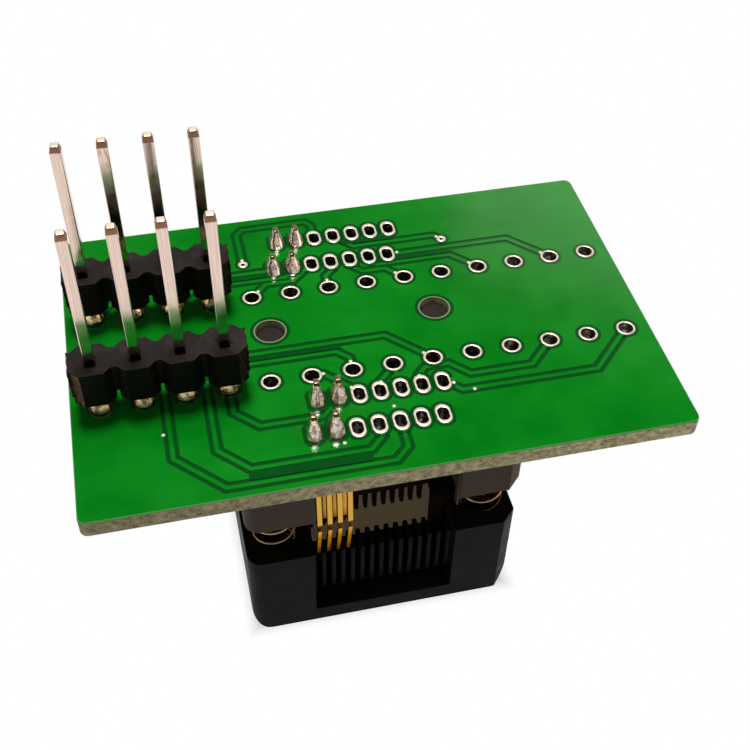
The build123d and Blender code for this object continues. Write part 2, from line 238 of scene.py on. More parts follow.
def masked_laminate(colours):
    """Glass-epoxy laminate under green photo-imaged solder mask.

    The mask looks bright where copper lies under it and dark in the etched gaps. Its gloss is soft, with
    fine level streaks from the glass cloth below, and the routed edge shows the bare, speckled laminate.
    """
    material, shader, add, place = start_material("solder_masked_laminate")
    axes = add("SeparateXYZ", [place])
    height = axes.outputs["Z"]
    rim_foot = (BOARD_TOP - RIM_DEPTH) * MM
    steep = add("Math", [facing(add, "Z")], operation="ABSOLUTE")
    upright = add("Math", [steep, 0.5], operation="LESS_THAN")
    below_rim = add("Math", [height, rim_foot], operation="LESS_THAN")
    routed = add("Math", [upright, below_rim], operation="MULTIPLY")
    on_copper = add("Math", [height, (BOARD_TOP - 0.04) * MM], operation="GREATER_THAN")

    # Cloud-like thickness of the mask, about 5 mm across
    clouds = add("TexNoise", [place, per_mm(5), 3.0, 0.55])
    # Glass yarns, 0.45 mm apart, long in X
    yarn_place = add("Mapping", {"Vector": place, "Scale": (per_mm(7), per_mm(0.45), per_mm(3))})
    yarns = add("TexNoise", [yarn_place, 1.0, 2.0])
    pale = [min(1.0, c * 1.22 + 0.004) for c in colours.mask_on_copper]
    deep = dimmed(colours.mask_on_copper, 0.86)
    cloud_range = add("MapRange", [clouds, 0.3, 0.7])
    bright = add("Mix", [cloud_range, deep, pale], data_type="RGBA")
    yarn_range = add("MapRange", [yarns, 0.35, 0.65, 0.0, 0.22])
    streaked = add("Mix", [yarn_range, bright, deep], data_type="RGBA")

    # Flux left between the soldered tails: a brownish film in two patches, broken up in 0.6 mm spots
    film = []
    for centre_y in (-6.95, 7.80):
        centre = (-3.5 * MM, centre_y * MM, BOARD_TOP * MM)
        away = add("VectorMath", [place, centre], operation="DISTANCE")
        film.append(add("MapRange", [away, 1.3 * MM, 2.9 * MM, 1.0, 0.0], interpolation_type="SMOOTHSTEP"))
    both_films = add("Math", film, operation="ADD")
    spots = add("TexNoise", [place, per_mm(0.6), 3.0])
    spot_range = add("MapRange", [spots, 0.45, 0.62, 0.0, 0.14])
    stain = add("Math", [both_films, spot_range], operation="MULTIPLY")
    stained = add("Mix", [stain, streaked, "#4a5a1e"], data_type="RGBA")
    mask = add("Mix", [on_copper, colours.mask_on_laminate, stained], data_type="RGBA")

    # Routed edge: glass and resin dust in 0.16 mm specks, and torn yarns 0.5 mm long
    specks = add("TexNoise", [place, per_mm(0.16), 4.0, 0.75])
    ply_place = add("Mapping", {"Vector": place, "Scale": (per_mm(0.5), per_mm(0.5), per_mm(0.35))})
    plies = add("TexNoise", [ply_place, 1.0, 2.0])
    dust = add("Math", [specks, plies], operation="ADD")
    dust_range = add("MapRange", [dust, 0.7, 1.26])
    resin, glass = dimmed(colours.laminate, 0.5), dimmed(colours.laminate, 1.9)
    edge = add("Mix", [dust_range, resin, glass], data_type="RGBA")
    # The edge is made darker towards -X and lighter towards +X
    edge_x_grade = add("MapRange", [axes.outputs["X"], -18 * MM, 18 * MM, 0.8, 1.45])
    graded_edge = add("VectorMath", [edge, edge_x_grade], operation="SCALE")
    body = add("Mix", [routed, mask, graded_edge], data_type="RGBA")
    # The mask thins out over the arris; the pale green line painted along the routed edge and the gap walls
    # is partly that and partly a painted highlight of these edges catching the light
    sloped = add("Math", [steep, 0.93], operation="LESS_THAN")
    above = add("Math", [height, rim_foot], operation="GREATER_THAN")
    arris_highlight = add("Math", [sloped, above], operation="MULTIPLY")
    colour = add("Mix", [arris_highlight, body, "#4c8a44"], data_type="RGBA")

    gloss = add("MapRange", [clouds, 0.3, 0.7, 0.11, 0.16])
    rough = add("Math", [gloss, routed], operation="MAXIMUM")
    relief = add("Math", [yarns, specks], operation="ADD")
    bump = add("Bump", {"Height": relief, "Strength": 0.2, "Distance": 0.01 * MM})
    fill_inputs(shader, {
        "Base Color": colour, "Roughness": rough, "IOR": 1.5, "Specular IOR Level": 0.38, "Normal": bump,
    })
    return material


def bare_mask(colours):
    """Solder mask straight on laminate: dark, slightly uneven green with the same soft gloss."""
    material, shader, add, place = start_material("solder_mask_on_laminate")
    clouds = add("TexNoise", [place, per_mm(0.8), 3.0])
    thick, thin = dimmed(colours.mask_on_laminate, 0.75), dimmed(colours.mask_on_laminate, 1.2)
    colour = add("Mix", [clouds, thick, thin], data_type="RGBA")
    fill_inputs(shader, {"Base Color": colour, "Roughness": 0.13, "IOR": 1.5, "Specular IOR Level": 0.38})
    return material


def bare_laminate():
    """Drilled laminate at the rim of an unplated hole: pale, dull and dusty."""
    material, shader, add, place = start_material("drilled_laminate")
    dust = add("TexNoise", [place, per_mm(0.1), 4.0])
    colour = add("Mix", [dust, "#46603a", "#8f9c74"], data_type="RGBA")
    fill_inputs(shader, {"Base Color": colour, "Roughness": 0.75, "IOR": 1.5})
    return material


def hot_levelled_tin(colours):
    """Hot-air levelled tin on copper: pale and satin on the pads, and painted dark down in the barrels, a
    painted shade with a few painted glints.
    """
    material, shader, add, place = start_material("hot_air_levelled_tin")
    waves = add("TexNoise", [place, per_mm(0.35), 2.0])
    dull = add("MapRange", [waves, 0.35, 0.65, 0.34, 0.5])
    open_tin = add("Mix", [waves, dimmed(colours.tin, 0.86), colours.tin], data_type="RGBA")
    height = add("SeparateXYZ", [place]).outputs["Z"]
    # Painted shade: the tin is painted darker with depth below the board's face, down in the barrels
    barrel_depth_shade = add("MapRange", [height, (BOARD_TOP - 0.07) * MM, BOARD_TOP * MM, 0.94, 0.0])
    # Painted glints: spots 0.3 mm across where the painted shade in the barrels is lifted
    glint_noise = add("TexNoise", [place, per_mm(0.3), 2.0])
    glint_breaks = add("MapRange", [glint_noise, 0.56, 0.66, 1.0, 0.3])
    painted_barrel_shade = add("Math", [barrel_depth_shade, glint_breaks], operation="MULTIPLY")
    colour = add("Mix", [painted_barrel_shade, open_tin, "#241c16"], data_type="RGBA")
    bump = add("Bump", {"Height": waves, "Strength": 0.3, "Distance": 0.015 * MM})
    fill_inputs(shader, {"Base Color": colour, "Metallic": 0.6, "Roughness": dull, "Normal": bump})
    return material


def hand_solder(name, bright, flux, folded):
    """Tin-lead solder, flowed by hand: shiny, with flux in its folds; folded says how deep they are."""
    material, shader, add, place = start_material(name)
    folds = add("TexNoise", [place, per_mm(0.4), 3.0, 0.6])
    fluxed = add("MapRange", [folds, 0.46, 0.58, 0.0, folded])
    colour = add("Mix", [fluxed, bright, flux], data_type="RGBA")
    dull = add("MapRange", [folds, 0.0, 1.0, 0.12, 0.3])
    bump = add("Bump", {"Height": folds, "Strength": folded * 0.8, "Distance": 0.06 * MM})
    fill_inputs(shader, {"Base Color": colour, "Metallic": 1.0, "Roughness": dull, "Normal": bump})
    return material


def tinned_pin():
    """Tinned square brass wire: drawn lengthwise, so fine streaks run up it, with bare cropped tips."""
    material, shader, add, place = start_material("tinned_brass_wire")
    pin_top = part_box("header_pin_front_1")[1][2]
    # Drawing marks 0.07 mm wide and 5 mm long
    mark_place = add("Mapping", {"Vector": place, "Scale": (per_mm(0.07), per_mm(0.07), per_mm(5))})
    marks = add("TexNoise", [mark_place, 1.0, 3.0])
    blotches = add("TexNoise", [place, per_mm(0.9), 2.0])
    height = add("SeparateXYZ", [place]).outputs["Z"]
    crop = pin_top - CROPPED_TAPER * MM
    cropped = add("MapRange", [height, crop - 0.05 * MM, crop])
    # The cropped tip's flat end, which looks up, is painted pale, a painted highlight of the light above;
    # the brown of its facets is the bare brass
    lit_flat_end = add("MapRange", [facing(add, "Z"), 0.75, 0.95])
    bare = add("Mix", [lit_flat_end, "#96705a", "#f6e0ca"], data_type="RGBA")
    mark_range = add("MapRange", [marks, 0.36, 0.62])
    streaked = add("Mix", [mark_range, "#d6bdae", "#ecd4c6"], data_type="RGBA")
    colour = add("Mix", [cropped, streaked, bare], data_type="RGBA")
    dull = add("MapRange", [blotches, 0.3, 0.7, 0.1, 0.18])
    end_dull = add("Mix", [cropped, dull, 0.5])
    bump = add("Bump", {"Height": marks, "Strength": 0.16, "Distance": 0.012 * MM})
    fill_inputs(shader, {"Base Color": colour, "Metallic": 1.0, "Roughness": end_dull, "Normal": bump})
    return material


def moulded_plastic(name, colour, grain, rough_low, rough_high, scuff, dust, sheen):
    """A glass-filled moulding: matte, with fine grain from the mould and paler handling scuffs.

    The grain size is in millimetres, scuff is the colour of the rubbed places, dust is painted light and
    shade from above: faces that look up are painted this many times brighter, or darker below one, and
    sheen is the level of the reflection.
    """
    material, shader, add, place = start_material(name)
    grains = add("TexNoise", [place, per_mm(grain), 4.0, 0.65])
    rubbed = add("TexNoise", [place, per_mm(1.6), 5.0, 0.7])
    rub_range = add("MapRange", [rubbed, 0.5, 0.75, 0.0, 0.55])
    grain_range = add("MapRange", [grains, 0.3, 0.7])
    speckled = add("Mix", [grain_range, dimmed(colour, 0.72), dimmed(colour, 1.3)], data_type="RGBA")
    worn = add("Mix", [rub_range, speckled, scuff], data_type="RGBA")
    # Painted light and shade from above: faces that look up are scaled by the dust share
    painted_top_light = add("MapRange", [facing(add, "Z"), 0.3, 0.9, 1.0, dust])
    top_lit_colour = add("VectorMath", [worn, painted_top_light], operation="SCALE")
    dull = add("MapRange", [rubbed, 0.3, 0.7, rough_low, rough_high])
    bump = add("Bump", {"Height": grains, "Strength": 0.5, "Distance": 0.02 * MM})
    fill_inputs(shader, {
        "Base Color": top_lit_colour, "Roughness": dull, "IOR": 1.55, "Specular IOR Level": sheen, "Normal": bump,
    })
    return material


def snapped_plastic():
    """Header plastic where the strip was snapped to length: torn, brown and fibrous."""
    material, shader, add, place = start_material("snapped_header_plastic")
    fibres = add("TexNoise", [place, per_mm(0.14), 4.0, 0.7])
    fibre_range = add("MapRange", [fibres, 0.42, 0.66])
    colour = add("Mix", [fibre_range, "#241a15", "#86684c"], data_type="RGBA")
    # Faces that look towards +X are made nearly black
    torn = add("MapRange", [facing(add, "X", "True Normal"), 0.1, 0.5, 1.0, 0.12])
    shaded = add("VectorMath", [colour, torn], operation="SCALE")
    bump = add("Bump", {"Height": fibres, "Strength": 0.8, "Distance": 0.08 * MM})
    fill_inputs(shader, {
        "Base Color": shaded, "Roughness": 0.7, "IOR": 1.55, "Specular IOR Level": 0.1, "Normal": bump,
    })
    return material


def hole_shade():
    """Painted shade: black with faint specks, for the mouth of a deep hole, where hardly any light comes
    back out of it.
    """
    material, shader, add, place = start_material("shade_in_the_hole_mouth")
    shade_specks = add("TexNoise", [place, per_mm(0.12), 3.0])
    colour = add("Mix", [shade_specks, (0.0006, 0.0006, 0.0005), (0.004, 0.0035, 0.003)], data_type="RGBA")
    fill_inputs(shader, {"Base Color": colour, "Roughness": 0.9, "Specular IOR Level": 0.0})
    return material


def gold_plate(colours):
    """Gold flash over nickel on stamped beryllium copper: bright faces, and darker, browner faces that look
    along X.

    Above the board the tail has been wetted with solder, and is a dull, brownish tin.
    """
    material, shader, add, place = start_material("gold_plated_stamping")
    x_facing = add("Math", [facing(add, "X")], operation="ABSOLUTE")
    x_facing_range = add("MapRange", [x_facing, 0.3, 0.95])
    # Rolling marks 0.05 mm wide and 2 mm long
    mark_place = add("Mapping", {"Vector": place, "Scale": (per_mm(0.05), per_mm(0.4), per_mm(2))})
    marks = add("TexNoise", [mark_place, 1.0, 2.0])
    face = add("Mix", [marks, dimmed(colours.gold, 0.78), colours.gold], data_type="RGBA")
    sided = add("Mix", [x_facing_range, face, "#9a6f2c"], data_type="RGBA")
    height = add("SeparateXYZ", [place]).outputs["Z"]
    # The levers below the bend are painted darker and browner than the bars: painted shade
    thin = add("MapRange", [height, 8.7 * MM, 9.5 * MM, 0.85, 0.0])
    lever_shaded = add("Mix", [thin, sided, "#a06c24"], data_type="RGBA")
    wetted = add("MapRange", [height, (BOARD_TOP - 0.1) * MM, BOARD_TOP * MM])
    colour = add("Mix", [wetted, lever_shaded, "#b08c76"], data_type="RGBA")
    dull = add("MapRange", [marks, 0.0, 1.0, 0.18, 0.36])
    bump = add("Bump", {"Height": marks, "Strength": 0.4, "Distance": 0.01 * MM})
    fill_inputs(shader, {
        "Base Color": colour, "Metallic": 1.0, "Roughness": dull, "Specular Tint": "#d9b274",
        "Normal": bump,
    })
    return material


def spring_wire():
    """Drawn spring wire with a thin oil-brown film: glossy round wire that glints along one line."""
    material, shader, add, place = start_material("drawn_spring_wire")
    film = add("TexNoise", [place, per_mm(0.5), 3.0])
    colour = add("Mix", [film, "#b58a5e", "#ecc79a"], data_type="RGBA")
    dull = add("MapRange", [film, 0.0, 1.0, 0.2, 0.36])
    fill_inputs(shader, {"Base Color": colour, "Metallic": 1.0, "Roughness": dull})
    return material


# Modelling

def leave_and_deselect():
    """Back to object mode with nothing selected."""
    active = bpy.context.view_layer.objects.active
    if active is not None and active.mode != "OBJECT":
        bpy.ops.object.mode_set(mode="OBJECT")
    bpy.ops.object.select_all(action="DESELECT")


def focus(piece):
    """Leave only this piece selected and active."""
    leave_and_deselect()
    piece.select_set(True)
    bpy.context.view_layer.objects.active = piece


def edit(piece, mode="VERT"):
    """Open one piece in edit mode."""
    focus(piece)
    bpy.ops.object.mode_set(mode="EDIT")
    bpy.ops.mesh.select_mode(type=mode)


def close():
    """Leave edit mode."""
    bpy.ops.object.mode_set(mode="OBJECT")


def pick(piece, kind, test):
    """Select the vertices, edges or faces of the piece in edit mode that pass the test, and count them."""
    bpy.ops.mesh.select_all(action="DESELECT")
    mesh = bmesh.from_edit_mesh(piece.data)
    found = [part for part in getattr(mesh, kind) if test(part)]
    for part in found:
        part.select_set(True)
    mesh.select_flush_mode()
    bmesh.update_edit_mesh(piece.data)
    return len(found)


def merge_points():
    """Make points that lie on each other one, in the whole piece in edit mode."""
    bpy.ops.mesh.select_all(action="SELECT")
    bpy.ops.mesh.remove_doubles(threshold=SAME_POINT * MM)


def face_outwards():
    """Turn all faces of the piece in edit mode outwards, and leave edit mode."""
    bpy.ops.mesh.select_all(action="SELECT")
    bpy.ops.mesh.normals_make_consistent(inside=False)
    close()


def apply_modifier(piece, kind, **settings):
    """Add a modifier to the piece and apply it."""
    focus(piece)
    modifier = piece.modifiers.new(kind.title(), kind)
    for key, value in settings.items():
        setattr(modifier, key, value)
    bpy.ops.object.modifier_apply(modifier=modifier.name)


def smooth(piece, angle=35, flat_faces=False):
    """Smooth shading with sharp edges above the angle; flat_faces keeps large flat faces even."""
    focus(piece)
    bpy.ops.object.shade_smooth_by_angle(angle=math.radians(angle))
    if flat_faces:
        apply_modifier(piece, "WEIGHTED_NORMAL", weight=100, keep_sharp=True)


def basic_form(name, operator, **settings):
    """A new basic form, made with the operator given, with its place and size in its mesh."""
    leave_and_deselect()
    operator(**settings)
    piece = bpy.context.object
    piece.name = name
    bpy.ops.object.transform_apply(location=True, rotation=True, scale=True)
    return piece


def stack_rings(name, sides, rings, closed):
    """A form drawn upwards from one ring: the open edge is extruded and resized to each next ring.

    Each ring is its half width in X, half width in Y and height, in millimetres. A closed form joins its
    last ring to its first, and an open one gets flat ends.
    """
    half_x, half_y, height = rings[0]
    piece = basic_form(
        name, bpy.ops.mesh.primitive_circle_add, vertices=sides, radius=half_x * MM,
        location=(0, 0, height * MM), rotation=(0, 0, math.pi / sides))
    edit(piece)
    if half_y > half_x:
        for end in (-1, 1):
            pick(piece, "verts", lambda v: v.co.y * end > 0)
            bpy.ops.transform.translate(value=(0, end * (half_y - half_x) * MM, 0))
    bpy.ops.mesh.select_all(action="SELECT")
    for next_x, next_y, next_height in rings[1:]:
        bpy.ops.mesh.extrude_region_move(
            TRANSFORM_OT_translate={"value": (0, 0, (next_height - height) * MM)})
        bpy.ops.transform.resize(
            value=(next_x / half_x, next_y / half_y, 1), center_override=(0, 0, next_height * MM))
        half_x, half_y, height = next_x, next_y, next_height
    if closed:
        bpy.ops.mesh.select_all(action="DESELECT")
        bpy.ops.mesh.select_non_manifold()
        bpy.ops.mesh.bridge_edge_loops()
    else:
        bpy.ops.mesh.select_all(action="SELECT")
        bpy.ops.mesh.fill_holes(sides=0)
    merge_points()
    face_outwards()
    return piece


def copies(source, places):
    """Copies of a piece, each with its own mesh, moved to (x, y, turn) places; the source is dropped."""
    made = []
    for number, (x, y, turn) in enumerate(places):
        twin = source.copy()
        twin.data = source.data.copy()
        twin.name = f"{source.name}_{number + 1}"
        bpy.context.scene.collection.objects.link(twin)
        twin.data.transform(Matrix.Translation((x * MM, y * MM, 0)) @ Matrix.Rotation(turn, 4, "Z"))
        made.append(twin)
    bpy.data.objects.remove(source)
    return made


def join(name, parts):
    """Join parts into one piece of this name."""
    leave_and_deselect()
    for part in parts:
        part.select_set(True)
    bpy.context.view_layer.objects.active = parts[0]
    if len(parts) > 1:
        bpy.ops.object.join()
    piece = parts[0]
    piece.name = name
    piece.data.name = name
    return piece


def cad_copy(node, name, rounding, segments=2):
    """A merged copy of a CAD node's mesh with its edges rounded, which stands for the node."""
    source = frame["nodes"][node]
    piece = bpy.data.objects.new(name, source.data.copy())
    bpy.context.scene.collection.objects.link(piece)
    piece.data.materials.clear()
    edit(piece)
    merge_points()
    bpy.ops.mesh.dissolve_limited(angle_limit=math.radians(0.5))
    close()
    if rounding > 0:
        apply_modifier(
            piece, "BEVEL", width=rounding, segments=segments, limit_method="ANGLE",
            angle_limit=math.radians(30), use_clamp_overlap=True)
    return piece


def solder_joints(name, sides, rings, places, first_seed, push, even):
    """Joints of one profile at all places, each pushed about a little above its foot, as by hand.

    The push is in millimetres, and even is the share of it that is the same at all points.
    """
    parts = []
    for number, place in enumerate(places):
        joint = stack_rings("solder_joint", sides, rings, False)
        edit(joint)
        pick(joint, "verts", lambda v: v.co.z > (BOARD_TOP + 0.1) * MM)
        bpy.ops.transform.vertex_random(
            offset=push * MM, uniform=even, normal=0.2, seed=number + first_seed)
        bpy.ops.mesh.vertices_smooth(factor=0.4, repeat=1)
        close()
        parts += copies(joint, [place])
    piece = join(name, parts)
    smooth(piece, 60)
    return piece


def finish_piece(piece, body, slot, *materials):
    """Give a piece its materials and its body; its finish slot is not used."""
    if materials:
        piece.data.materials.clear()
        for material in materials:
            piece.data.materials.append(material)
    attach(piece, body)
    return piece


def grid_place(row, position):
    """Centre of a grid hole in millimetres, row front or back, position counted from 1."""
    return (FIRST_HOLE_X + (position - 1) * GRID_PITCH, FRONT_ROW_Y if row == "front" else BACK_ROW_Y)


def tail_place(row, place):
    """Centre of a contact's tail slot in millimetres, place counted from 0."""
    side = -1 if row == "front" else 1
    outer = place % 2 == (0 if side < 0 else 1)
    x = SOCKET_X + (place - (CONTACT_POSITIONS - 1) / 2) * CONTACT_PITCH
    return (x, SOCKET_Y + side * (OUTER_TAIL_REACH if outer else INNER_TAIL_REACH))


def unturned(places):
    """Places in millimetres with a turn of nothing added, as copies takes them."""
    return [(*place, 0.0) for place in places]


def grid_places(row):
    """All grid holes of a row, unturned."""
    return unturned(grid_place(row, number + 1) for number in range(GRID_POSITIONS))


def tail_places(row):
    """All tail slots of a row, unturned."""
    return unturned(tail_place(row, number) for number in range(CONTACT_POSITIONS))


# Pads that a printed track runs into: the pad's number in its row, and the track's way there in degrees
TRACK_ENDS = {
    ("grid", "front"): ((4, -90), (6, 0), (7, 90), (8, -90), (9, 135), (12, 226), (14, 225)),
    ("tail", "front"): ((3, -90), (5, 121), (6, -90), (7, 75), (8, -90), (11, 90), (13, 0)),
    ("grid", "back"): ((1, 45), (3, 45), (5, 45), (7, 90), (9, 135), (11, 135), (13, 135)),
    ("tail", "back"): (
        (0, 194), (2, -90), (4, 224), (5, 90), (6, -94), (7, -90), (8, 258), (10, -90), (12, -10)),
    ("via", "back"): ((0, 90), (1, 135)),
}

# Pads where a little solder has run out on the track, with its way in degrees
SOLDER_RUNS = {
    ("grid", "front"): ((6, 0), (7, 90), (9, 135)),
    ("tail", "front"): ((5, 121), (7, 75), (11, 90), (13, -25)),
    ("grid", "back"): ((5, 45), (7, 90), (9, 135), (11, 135), (13, 135)),
    ("tail", "back"): ((6, -105), (8, 245), (12, 0)),
    ("via", "back"): ((0, 90), (1, 135)),
}


def beside_pads(pads, reach, via_reach):
    """Places this far from the middle of each pad along its track, as x, y and turn."""
    places = []
    for (kind, row), ends in pads.items():
        for number, degrees in ends:
            if kind == "via":
                x, y = VIA_PLACES[number]
            else:
                x, y = grid_place(row, number) if kind == "grid" else tail_place(row, number)
            away = via_reach if kind == "via" else reach
            turn = math.radians(degrees)
            places.append((x + away * math.cos(turn), y + away * math.sin(turn), turn))
    return places


class ADAPTER_OT_board(bpy.types.Operator):
    """Dress the circuit board: rounded rim and green solder mask over the laminate"""

    bl_idname = "adapter.board"
    bl_label = "Circuit Board"

    def execute(self, context):
        piece = cad_copy("circuit_board", "masked_board", 0)
        high_x, high_y = board_high[0], board_high[1]
        near, corner, sharp = 0.01 * MM, 0.6 * MM, 0.8

        def on_rim(edge):
            ends = [v.co for v in edge.verts]
            level = any(
                all(abs(p.z - face[2]) < 0.1 * near for p in ends) for face in (board_low, board_high))
            outside = all(
                abs(p.x) > high_x - near or abs(p.y) > high_y - near
                or (abs(p.x) > high_x - corner and abs(p.y) > high_y - corner) for p in ends)
            return level and outside and len(edge.link_faces) == 2 and edge.calc_face_angle(0) > sharp

        edit(piece, "EDGE")
        if not pick(piece, "edges", on_rim):
            raise RuntimeError("the board has no rim edges")
        bpy.ops.mesh.bevel(offset=0.07 * MM, segments=2, affect="EDGES")
        close()
        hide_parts("circuit_board")
        finish_piece(piece, "board", "laminate", masked_laminate(context.scene.adapter_colours))
        return {"FINISHED"}


class ADAPTER_OT_plating(bpy.types.Operator):
    """Plate the grid holes, the slots for the contact tails and the two vias"""

    bl_idname = "adapter.plating"
    bl_label = "Plated Holes"

    def execute(self, context):
        sizes = context.scene.adapter_sizes
        grid_bore = (sizes.grid_bore / 2 / MM,) * 2
        grid_pad = (sizes.grid_pad / 2 / MM,) * 2
        kinds = []
        for row in ROWS:
            kinds.append((f"grid_plating_{row}", 28, grid_bore, GRID_WALL, grid_pad, grid_places(row)))
            kinds.append((f"tail_plating_{row}", 24, SLOT_BORE, SLOT_WALL, SLOT_PAD, tail_places(row)))
        kinds.append(("via_plating", 20, VIA_BORE, VIA_WALL, VIA_PAD, unturned(VIA_PLACES)))
        tin = hot_levelled_tin(context.scene.adapter_colours)
        for name, sides, bore, wall, pad, places in kinds:
            source = self.plated_hole(name, sides, bore, wall, pad, sizes.pad_rise / MM)
            finish_piece(join(name, copies(source, places)), "board", "solder", tin)
        return {"FINISHED"}

    def plated_hole(self, name, sides, bore, wall, pad, rise):
        """A tube through the board with a flat pad on each face, its tin rounded at the rims."""
        soft = 0.04
        bore_lip = (bore[0] + soft, bore[1] + soft)
        pad_lip = (pad[0] - soft, pad[1] - soft)
        low, top = BOARD_BOTTOM, BOARD_TOP
        rings = [
            (*bore, low - rise * 0.5), (*bore_lip, low - rise), (*pad_lip, low - rise), (*pad, low),
            (*wall, low), (*wall, top),
            (*pad, top), (*pad_lip, top + rise), (*bore_lip, top + rise), (*bore, top + rise * 0.5),
        ]
        piece = stack_rings(name, sides, rings, True)
        smooth(piece, 50)
        return piece


class ADAPTER_OT_clearances(bpy.types.Operator):
    """Lay the dark bare rings round the pads, the patches without copper and the track ends"""

    bl_idname = "adapter.clearances"
    bl_label = "Mask Clearances"

    # Patches between close tracks where no copper was left, as middle and half size in millimetres
    PATCHES = (
        (-5.0, -10.53, 3.6, 0.27), (-5.3, -1.485, 3.8, 0.17), (-6.5, 5.99, 1.5, 0.2),
        (5.7, 6.0, 1.85, 0.2), (2.3, 8.2, 1.8, 0.2),
    )

    def execute(self, context):
        sizes = context.scene.adapter_sizes
        colours = context.scene.adapter_colours
        gap = sizes.clearance / MM
        pad = sizes.grid_pad / 2 / MM
        slot = (SLOT_PAD[0] + gap, SLOT_PAD[1] + gap)
        dark = bare_mask(colours)
        for row in ROWS:
            rings = self.flat_rings(28, (pad - 0.05,) * 2, (pad + gap,) * 2, grid_places(row))
            finish_piece(join(f"grid_clearance_{row}", rings), "board", "laminate", dark)
            rings = self.flat_rings(24, SLOT_TUCK, slot, tail_places(row))
            finish_piece(join(f"tail_clearance_{row}", rings), "board", "laminate", dark)
        rings = self.flat_rings(24, VIA_TUCK, (VIA_PAD[0] + gap,) * 2, unturned(VIA_PLACES))
        rings += self.flat_rings(40, *PEG_RING, unturned(PEG_PLACES))
        finish_piece(join("round_clearances", rings), "board", "laminate", dark)
        rings = self.flat_rings(40, *PEG_RIM, unturned(PEG_PLACES), 0.006)
        finish_piece(join("peg_hole_rims", rings), "board", "laminate", bare_laminate())
        patches = [self.flat_patch("bare_patch", *patch, 0.003) for patch in self.PATCHES]
        finish_piece(join("bare_patches", patches), "board", "laminate", dark)

        # Track ends that cross the bare rings
        neck = self.flat_patch("track_end", 0.66, 0, 0.24, 0.13, 0.008)
        piece = join("track_ends", copies(neck, beside_pads(TRACK_ENDS, 0.0, -0.28)))
        finish_piece(piece, "board", "laminate", bpy.data.materials["solder_masked_laminate"])
        return {"FINISHED"}

    def flat_rings(self, sides, inner, outer, places, rise=0.004):
        """Thin flat rings on the board's face."""
        foot, top = BOARD_TOP - 0.01, BOARD_TOP + rise
        rings = [(*inner, foot), (*inner, top), (*outer, top), (*outer, foot)]
        return copies(stack_rings("clear_ring", sides, rings, True), places)

    def flat_patch(self, name, x, y, half_x, half_y, rise):
        """A thin patch on the board's face with cut corners."""
        height = rise + 0.01
        piece = basic_form(
            name, bpy.ops.mesh.primitive_cube_add, size=2 * MM, scale=(half_x, half_y, height / 2),
            location=(x * MM, y * MM, (BOARD_TOP - 0.01 + height / 2) * MM))
        edit(piece, "EDGE")
        pick(piece, "edges", lambda e: abs(e.verts[0].co.z - e.verts[1].co.z) > height / 2 * MM)
        bpy.ops.mesh.bevel(offset=min(half_x, half_y) * 0.45 * MM, segments=2, affect="EDGES")
        close()
        return piece


class ADAPTER_OT_header_strips(bpy.types.Operator):
    """Dress the two header strips: rounded moulded edges and torn ends"""

    bl_idname = "adapter.header_strips"
    bl_label = "Header Strips"

    def execute(self, context):
        # dust=5.0 is a painted highlight: the tops of the strips are painted five times brighter for the
        # light from above
        plastic = moulded_plastic(
            "moulded_header_polyester", context.scene.adapter_colours.header_plastic, grain=0.07,
            rough_low=0.38, rough_high=0.55, scuff="#1c1715", dust=5.0, sheen=0.06)
        torn = snapped_plastic()
        shade = hole_shade()
        for row in ROWS:
            node = f"header_strip_{row}"
            piece = cad_copy(node, f"moulded_strip_{row}", context.scene.adapter_sizes.edge_wear)
            finish_piece(piece, "board", "header_plastic", plastic, torn)
            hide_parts(node)
            low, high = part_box(node)
            edit(piece, "FACE")
            for seed, (end, edge_x) in enumerate(((-1, low[0]), (1, high[0]))):
                pick(piece, "faces", lambda f: f.normal.x * end > 0.5
                     and abs(f.calc_center_median().x - edge_x) < 0.3 * MM)
                for face in bmesh.from_edit_mesh(piece.data).faces:
                    if face.select:
                        face.material_index = 1
                bpy.ops.mesh.subdivide(number_cuts=7)
                bpy.ops.mesh.select_more()
                bpy.ops.mesh.select_less()
                bpy.ops.mesh.select_less()
                bpy.ops.transform.vertex_random(offset=0.08 * MM, uniform=0.6, normal=0.0, seed=seed + 3)
            close()
            smooth(piece, 35, True)
            finish_piece(self.mouths(row, high[2]), "board", "header_plastic", shade)
        return {"FINISHED"}

    def mouths(self, row, top):
        """Thin black sheets of painted shade over the open part of each square hole, 0.47 mm in front of
        its pin's middle.
        """
        source = basic_form(
            "hole_mouth", bpy.ops.mesh.primitive_cube_add, size=1,
            scale=(0.62 * MM, 0.3 * MM, 0.012 * MM))
        holes = [grid_place(row, number + 1) for number in range(HEADER_POSITIONS)]
        piece = join(f"hole_mouths_{row}", copies(source, [(x, y - 0.47, 0.0) for x, y in holes]))
        for vertex in piece.data.vertices:
            vertex.co.z += top
        return piece


